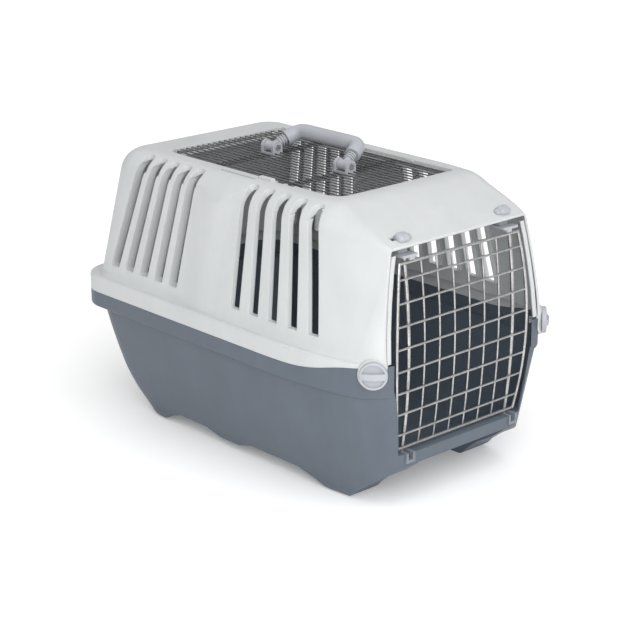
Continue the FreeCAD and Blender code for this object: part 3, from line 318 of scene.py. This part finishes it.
def addSlotHead(cutter, side, y):
    near, far = slotHeads["reach"]
    low, high = slotHeads["level"]
    spot = (side * (near + far) / 2, y, (low + high) / 2)
    shape = Matrix.LocRotScale(spot, None, (far - near, slotHeads["wide"], high - low))
    fresh = set(bmesh.ops.create_cube(cutter, size=1.0, matrix=shape)["verts"])
    middle = (near + far) / 2
    inner = []
    for edge in cutter.edges:
        first, second = edge.verts
        upright = abs(first.co.z - second.co.z) > (high - low) / 2
        if first in fresh and upright and abs(first.co.x) < middle:
            inner.append(edge)
    bmesh.ops.bevel(cutter, geom=inner, offset=slotHeads["round"], offset_type="OFFSET", affect="EDGES",
                    segments=slotHeads["roundSegments"], profile=0.5, material=-1)


def openSlotHeads(work):
    cutter = bmesh.new()
    for first, pitch in slotHeads["groups"]:
        for index in range(slotHeads["perGroup"]):
            foot = first + pitch * index
            head = foot + (foot - slotHeads["leanCentre"]) * slotHeads["leanShare"]
            addSlotHead(cutter, -1, head)
            addSlotHead(cutter, 1, head)
    holders = []
    for name, source in (("slotCutter", cutter), ("slotShell", work)):
        mesh = bpy.data.meshes.new(name)
        source.to_mesh(mesh)
        holders.append(bpy.data.objects.new(name, mesh))
        bpy.context.scene.collection.objects.link(holders[-1])
    cutter.free()
    tool, blank = holders
    cut = blank.modifiers.new("heads", "BOOLEAN")
    cut.operation = "DIFFERENCE"
    cut.solver = "EXACT"
    cut.object = tool
    opened = blank.evaluated_get(bpy.context.evaluated_depsgraph_get())
    work.clear()
    work.from_mesh(opened.to_mesh())
    opened.to_mesh_clear()
    for holder in holders:
        mesh = holder.data
        bpy.data.objects.remove(holder)
        bpy.data.meshes.remove(mesh)
    print("slot heads opened:", len(work.faces), "faces")


# the long roof wires are drawn a little thinner than their solids
grateThin = {"amount": 0.00042}


def thinWire(work):
    work.normal_update()
    moves = [(vert, vert.normal * grateThin["amount"]) for vert in work.verts]
    for vert, move in moves:
        vert.co -= move


shapers = {
    "top_shell": openSlotHeads,
    "base_tub": swellTub,
    "grate_long_wires": thinWire,
}
skinLook = {"joinDistance": 2e-6, "smoothAngle": math.radians(32)}  # sharper folds stay hard


def addPiece(name, mesh, finish, body):
    mesh.materials.clear()
    mesh.materials.append(finishes[finish])
    piece = bpy.data.objects.new(name, mesh)
    bpy.context.scene.collection.objects.link(piece)
    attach(piece, body)
    return piece


# each solid's copy is joined up, shaped and smoothed, and takes its finish
def dressNode(node, finish, slot, body):
    mesh = frame["nodes"][node].data.copy()
    work = bmesh.new()
    work.from_mesh(mesh)
    bmesh.ops.remove_doubles(work, verts=work.verts, dist=skinLook["joinDistance"])
    if node in shapers:
        shapers[node](work)
    for face in work.faces:
        face.smooth = True
    for edge in work.edges:
        edge.smooth = len(edge.link_faces) == 2 and edge.calc_face_angle(0) < skinLook["smoothAngle"]
    work.to_mesh(mesh)
    work.free()
    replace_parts(addPiece(node + ".skin", mesh, finish, body), node)


# finish and slot by the start of a node's name; the first that fits counts
nodeFinish = {
    "base_tub": ("tubPlastic", "tub_plastic"),
    "top_shell": ("shellPlastic", "shell_plastic"),
    "door_bush": ("bushPlastic", "fitting_plastic"),
    "door_latch": ("fittingPlastic", "fitting_plastic"),
    "knob": ("fittingPlastic", "fitting_plastic"),
    "handle_clip": ("fittingPlastic", "fitting_plastic"),
    "handle_grip": ("fittingPlastic", "fitting_plastic"),
    "handle_pin": ("zincWire", "zinc_wire"),
    "grate_frame": ("zincWire", "zinc_wire"),
    # the roof grate takes the zinc with painted shade, darker than the door wire
    "grate": ("grateWirePaintedShade", "zinc_wire"),
    "door": ("zincWire", "zinc_wire"),
}

for body, members in frame["record"]["behaviour"]["bodies"].items():
    for node in members:
        start = next(start for start in nodeFinish if node.startswith(start))
        dressNode(node, *nodeFinish[start], body)
print("solids dressed")

# narrow turned-in edge beside the door, on both jambs of the shell
jambEdge = {
    "run": [
        (-0.1315, -0.2738, 0.1935), (-0.1290, -0.2705, 0.2310), (-0.1245, -0.2672, 0.2660),
        (-0.1185, -0.2640, 0.3000), (-0.1140, -0.2622, 0.3190),
    ],
    "wide": 0.0065,
    "thick": 0.0022,
}


def shiftNew(work, made, move):
    moved = [item for item in made["geom"] if isinstance(item, bmesh.types.BMVert)]
    bmesh.ops.translate(work, verts=moved, vec=move)


def makeJambEdges():
    work = bmesh.new()
    spots = [work.verts.new(place) for place in jambEdge["run"]]
    edges = [work.edges.new(pair) for pair in zip(spots, spots[1:])]
    shiftNew(work, bmesh.ops.extrude_edge_only(work, edges=edges), (jambEdge["wide"], 0, 0))
    shiftNew(work, bmesh.ops.extrude_face_region(work, geom=work.faces[:]), (0, jambEdge["thick"], 0))
    bmesh.ops.mirror(work, geom=work.verts[:] + work.edges[:] + work.faces[:], axis="X", merge_dist=1e-6)
    bmesh.ops.recalc_face_normals(work, faces=work.faces)
    mesh = bpy.data.meshes.new("jambEdges")
    work.to_mesh(mesh)
    work.free()
    addPiece("jambEdges", mesh, "shellPlastic", "carrier")


makeJambEdges()
print("jamb edges made")

# floor, light and camera
stageLook = {
    "floor": (0.92, 0.92, 0.92, 1),
    "floorShade": (0.9062, 0.9062, 0.9062, 1),
    "floorFibre": (40.0, 3.0, 0.5),
    "floorRough": 0.9,
    "floorGlow": 0.16,
    "floorReach": 30.0,
    "sky": (1.0, 1.0, 1.0, 1),
    "skyPower": 0.33,
}


def makeFloor():
    mesh = bpy.data.meshes.new("floor")
    work = bmesh.new()
    bmesh.ops.create_grid(work, x_segments=1, y_segments=1, size=stageLook["floorReach"])
    work.to_mesh(mesh)
    work.free()
    floor = bpy.data.objects.new("floor", mesh)
    bpy.context.scene.collection.objects.link(floor)
    finish, shader, place = newFinish("paperFloor")
    fibre = noise(place, *stageLook["floorFibre"])
    feed(shader, "Base Color", mixColour(fibre, stageLook["floorShade"], stageLook["floor"]))
    shader.inputs["Roughness"].default_value = stageLook["floorRough"]
    shader.inputs["Emission Color"].default_value = stageLook["floor"]
    shader.inputs["Emission Strength"].default_value = stageLook["floorGlow"]
    mesh.materials.append(finish)


def turnToward(holder, direction):
    holder.rotation_euler = Vector(direction).to_track_quat("-Z", "Y").to_euler()
    bpy.context.scene.collection.objects.link(holder)


wideSuns = {
    "frontSun": {"toward": (0.10, 0.70, -0.70), "power": 1.3, "spread": 70},
    "topSun": {"toward": (0.10, -0.05, -1.0), "power": 1.35, "spread": 130},
}
doorSoftBox = {"spot": (-0.85, -1.05, 0.60), "aim": (-0.08, -0.16, 0.2), "side": 0.6, "power": 6.5}


def makeLights():
    for name, look in wideSuns.items():
        lamp = bpy.data.lights.new(name, "SUN")
        lamp.energy = look["power"]
        lamp.angle = math.radians(look["spread"])
        turnToward(bpy.data.objects.new(name, lamp), look["toward"])
    lamp = bpy.data.lights.new("doorSoftBox", "AREA")
    lamp.shape = "SQUARE"
    lamp.size = doorSoftBox["side"]
    lamp.energy = doorSoftBox["power"]
    holder = bpy.data.objects.new("doorSoftBox", lamp)
    holder.location = doorSoftBox["spot"]
    turnToward(holder, Vector(doorSoftBox["aim"]) - Vector(doorSoftBox["spot"]))


def makeSky():
    world = bpy.data.worlds.new("studio")
    world.use_nodes = True
    sky = world.node_tree.nodes["Background"]
    sky.inputs["Color"].default_value = stageLook["sky"]
    sky.inputs["Strength"].default_value = stageLook["skyPower"]
    bpy.context.scene.world = world
    bpy.context.scene.view_settings.view_transform = "Standard"


# the photograph's view
cameraLook = {
    "spot": (-1.5523, -1.7083, 0.9375),
    "target": (0.0218, -0.0229, 0.1528),
    "lens": 104.15,
    "sensor": 36.0,
    "shift": (-0.0254, -0.0013),
}


def makeCamera():
    lens = bpy.data.cameras.new("photoView")
    lens.sensor_width = cameraLook["sensor"]
    lens.lens = cameraLook["lens"]
    lens.shift_x, lens.shift_y = cameraLook["shift"]
    holder = bpy.data.objects.new("photoView", lens)
    holder.location = cameraLook["spot"]
    turnToward(holder, Vector(cameraLook["target"]) - Vector(cameraLook["spot"]))
    bpy.context.scene.camera = holder


makeFloor()
makeLights()
makeSky()
makeCamera()
print("stage set")
